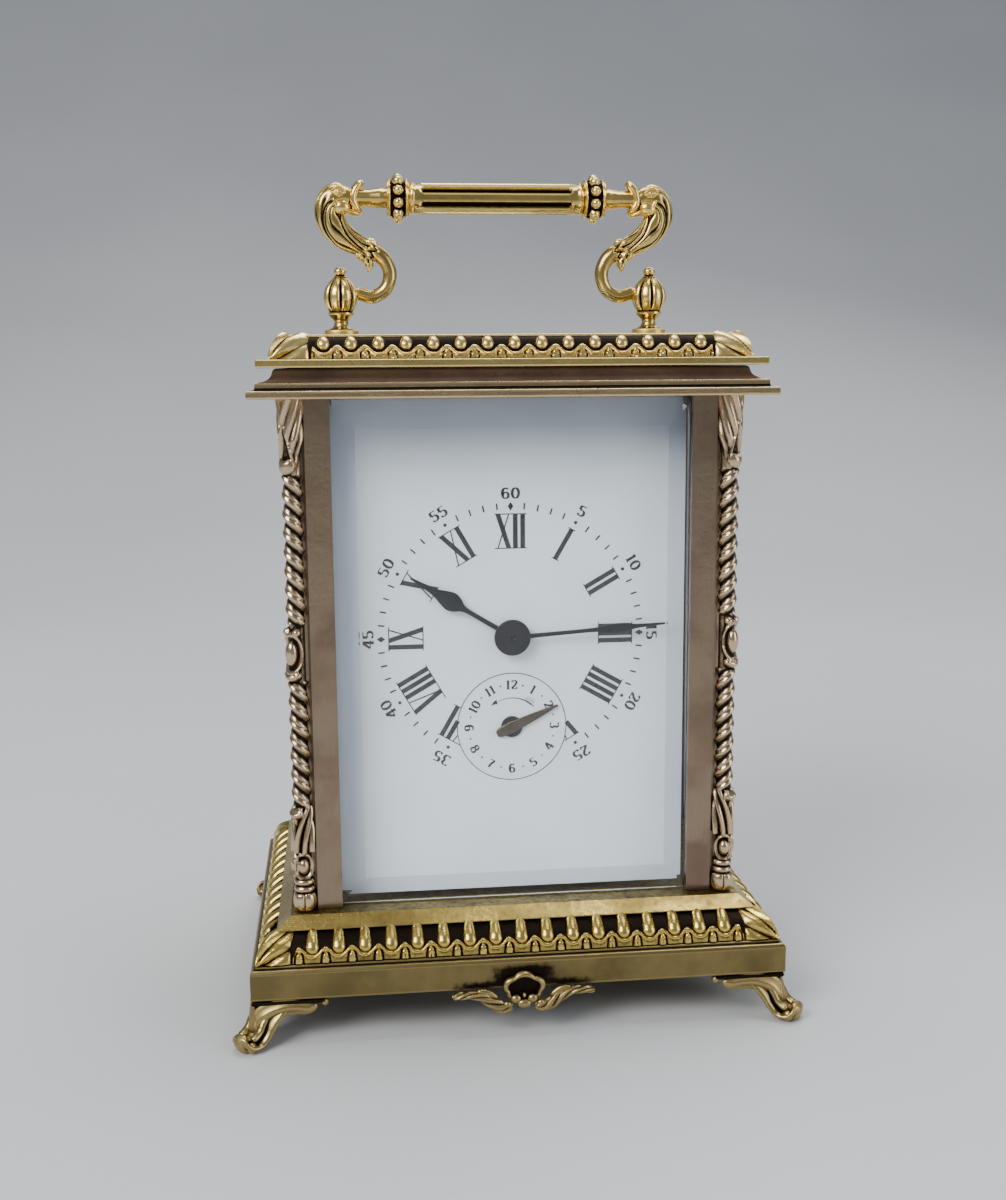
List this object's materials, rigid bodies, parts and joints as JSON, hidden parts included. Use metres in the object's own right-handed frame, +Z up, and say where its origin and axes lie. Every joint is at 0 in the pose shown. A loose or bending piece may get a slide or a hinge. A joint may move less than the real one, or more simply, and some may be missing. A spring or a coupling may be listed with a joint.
{
  "type": "carriage clock",
  "caption": "Brass carriage clock with bevelled glass panels, twisted corner columns, an alarm sub-dial, a folding handle and a hinged rear door.",
  "frame": {"origin": "on the table, midway between the four feet", "axes": "+X to the viewer's right, +Y from the dial to the rear door, +Z up"},
  "size_m": [0.1206, 0.0916, 0.1783],
  "materials": {
    "case_brass": "lacquered gilt brass with dark patina in its recesses",
    "movement_brass": "brushed",
    "glass": "polished, with bevelled edges",
    "enamel": "white glazed enamel, with black numerals",
    "steel": "polished",
    "blued_steel": "blued almost to black",
    "bell_metal": "polished bell metal"
  },
  "bodies": {
    "case": {"base_plinth": "case_brass", "foot_front_left": "case_brass", "foot_front_right": "case_brass", "foot_back_left": "case_brass", "foot_back_right": "case_brass", "post_front_left": "case_brass", "post_front_right": "case_brass", "post_back_left": "case_brass", "post_back_right": "case_brass", "column_front_left": "case_brass", "column_front_right": "case_brass", "column_back_left": "case_brass", "column_back_right": "case_brass", "front_mount": "case_brass", "cornice": "case_brass", "lid": "case_brass", "glass_front": "glass", "glass_left": "glass", "glass_right": "glass", "glass_top": "glass", "hinge_pin_lower": "steel", "hinge_pin_upper": "steel", "finial_left": "case_brass", "finial_right": "case_brass", "front_plate": "movement_brass", "back_plate": "movement_brass", "dial": "enamel", "bell": "bell_metal", "bell_screw": "steel", "platform": "steel", "balance_cock": "steel", "hairspring": "blued_steel"},
    "handle": {"handle_arm_left": "case_brass", "handle_arm_right": "case_brass", "handle_grip": "case_brass", "grip_collar_left": "case_brass", "grip_collar_right": "case_brass"},
    "door": {"door_frame": "case_brass", "door_glass": "glass", "door_knob": "movement_brass"},
    "centre_arbor": {"centre_wheel": "movement_brass", "cannon_pinion": "steel", "minute_hand": "blued_steel"},
    "minute_work": {"minute_wheel": "movement_brass"},
    "hour_work": {"hour_wheel": "movement_brass", "hour_hand": "blued_steel"},
    "barrel": {"going_barrel": "movement_brass", "barrel_cap": "movement_brass", "mainspring": "steel"},
    "third_arbor": {"third_wheel": "movement_brass"},
    "fourth_arbor": {"contrate_wheel": "movement_brass"},
    "escape_arbor": {"escape_wheel": "movement_brass"},
    "winding": {"winding_arbor": "steel"},
    "click_body": {"click": "steel"},
    "lever": {"pallet_lever": "steel"},
    "balance": {"balance_wheel": "movement_brass"},
    "alarm_setting": {"alarm_hand": "movement_brass"},
    "alarm_spring": {"alarm_barrel": "movement_brass"},
    "alarm_pins": {"alarm_pin_wheel": "movement_brass"},
    "hammer": {"alarm_hammer": "steel"}
  },
  "joints": [
    {"name": "handle_fold", "type": "hinge", "parent": "case", "child": "handle", "pos_m": [0, 0, 0.153], "axis": [1, 0, 0], "range_deg": [-90, 90]},
    {"name": "door_swing", "type": "hinge", "parent": "case", "child": "door", "pos_m": [-0.0352, 0.0297, 0.078], "axis": [0, 0, 1], "range_deg": [0, 105]},
    {"name": "minute_hand_turn", "type": "hinge", "parent": "case", "child": "centre_arbor", "pos_m": [0, 0, 0.0809], "axis": [0, 1, 0], "continuous": true},
    {"name": "minute_wheel_turn", "type": "hinge", "parent": "case", "child": "minute_work", "pos_m": [0.00866, 0, 0.0859], "axis": [0, 1, 0], "continuous": true},
    {"name": "hour_hand_turn", "type": "hinge", "parent": "case", "child": "hour_work", "pos_m": [0, 0, 0.0809], "axis": [0, 1, 0], "continuous": true},
    {"name": "barrel_turn", "type": "hinge", "parent": "case", "child": "barrel", "pos_m": [0.01631, 0, 0.07329], "axis": [0, 1, 0], "continuous": true},
    {"name": "third_wheel_turn", "type": "hinge", "parent": "case", "child": "third_arbor", "pos_m": [-0.01565, 0, 0.08509], "axis": [0, 1, 0], "continuous": true},
    {"name": "fourth_wheel_turn", "type": "hinge", "parent": "case", "child": "fourth_arbor", "pos_m": [-0.00899, 0, 0.09695], "axis": [0, 1, 0], "continuous": true},
    {"name": "escape_wheel_turn", "type": "hinge", "parent": "case", "child": "escape_arbor", "pos_m": [-0.00899, 0.001, 0.108], "axis": [0, 0, 1], "continuous": true},
    {"name": "winding_turn", "type": "hinge", "parent": "case", "child": "winding", "pos_m": [0.01631, 0, 0.07329], "axis": [0, 1, 0], "continuous": true},
    {"name": "click_lift", "type": "hinge", "parent": "case", "child": "click_body", "pos_m": [0.01121, 0.014, 0.08213], "axis": [0, 1, 0], "range_deg": [-10, 0], "stiffness_Nm_per_rad": 0.002},
    {"name": "lever_rock", "type": "hinge", "parent": "case", "child": "lever", "pos_m": [-0.00359, 0.001, 0.111], "axis": [0, 0, 1], "range_deg": [-5, 5]},
    {"name": "balance_swing", "type": "hinge", "parent": "case", "child": "balance", "pos_m": [0.00141, 0.001, 0.1146], "axis": [0, 0, 1], "range_deg": [-150, 150], "stiffness_Nm_per_rad": 0.000005},
    {"name": "alarm_hand_turn", "type": "hinge", "parent": "case", "child": "alarm_setting", "pos_m": [0, 0, 0.0611], "axis": [0, 1, 0], "continuous": true},
    {"name": "alarm_barrel_turn", "type": "hinge", "parent": "case", "child": "alarm_spring", "pos_m": [-0.016, 0, 0.05], "axis": [0, 1, 0], "continuous": true},
    {"name": "pin_wheel_turn", "type": "hinge", "parent": "case", "child": "alarm_pins", "pos_m": [-0.00331, 0, 0.04408], "axis": [0, 1, 0], "continuous": true},
    {"name": "hammer_strike", "type": "hinge", "parent": "case", "child": "hammer", "pos_m": [0.0085, 0, 0.0405], "axis": [0, 1, 0], "range_deg": [-6, 4], "stiffness_Nm_per_rad": 0.02}
  ],
  "couplings": [
    {"joint": "minute_wheel_turn", "follows": "minute_hand_turn", "ratio": -0.33333},
    {"joint": "hour_hand_turn", "follows": "minute_hand_turn", "ratio": 0.083333},
    {"joint": "barrel_turn", "follows": "minute_hand_turn", "ratio": -0.125},
    {"joint": "third_wheel_turn", "follows": "minute_hand_turn", "ratio": -8},
    {"joint": "fourth_wheel_turn", "follows": "minute_hand_turn", "ratio": 60},
    {"joint": "escape_wheel_turn", "follows": "minute_hand_turn", "ratio": 600},
    {"joint": "pin_wheel_turn", "follows": "alarm_barrel_turn", "ratio": -6}
  ]
}
